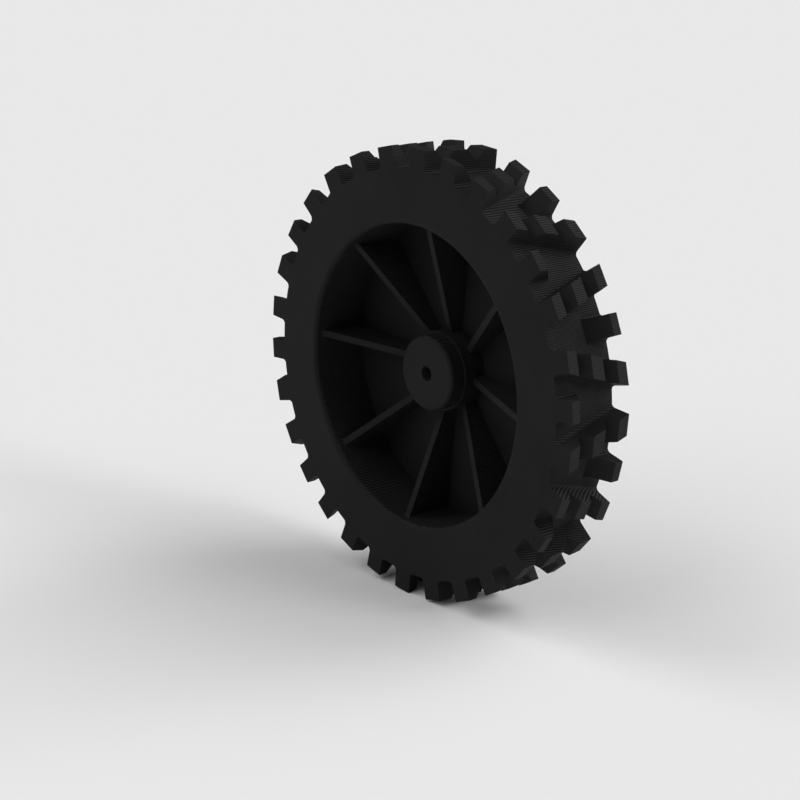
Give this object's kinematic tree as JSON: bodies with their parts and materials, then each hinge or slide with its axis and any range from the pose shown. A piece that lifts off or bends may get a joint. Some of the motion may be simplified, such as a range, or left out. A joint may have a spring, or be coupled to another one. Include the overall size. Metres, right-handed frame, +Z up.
{
  "type": "robotic mower wheel",
  "caption": "Lugged plastic drive wheel with a rim open at the front, sloping ribs, a closed back disc and a bored hub.",
  "frame": {"origin": "on the axle line, at the middle of the wheel's width", "axes": "+Y along the axle from the open front to the closed back, +Z up as the wheel stands, +X to the right seen from the front"},
  "size_m": [0.201, 0.032, 0.201],
  "materials": {
    "body": "matte black moulded plastic with fine ridges along the axle direction on its walls"
  },
  "bodies": {
    "root": {"wheel": "body"}
  },
  "joints": []
}
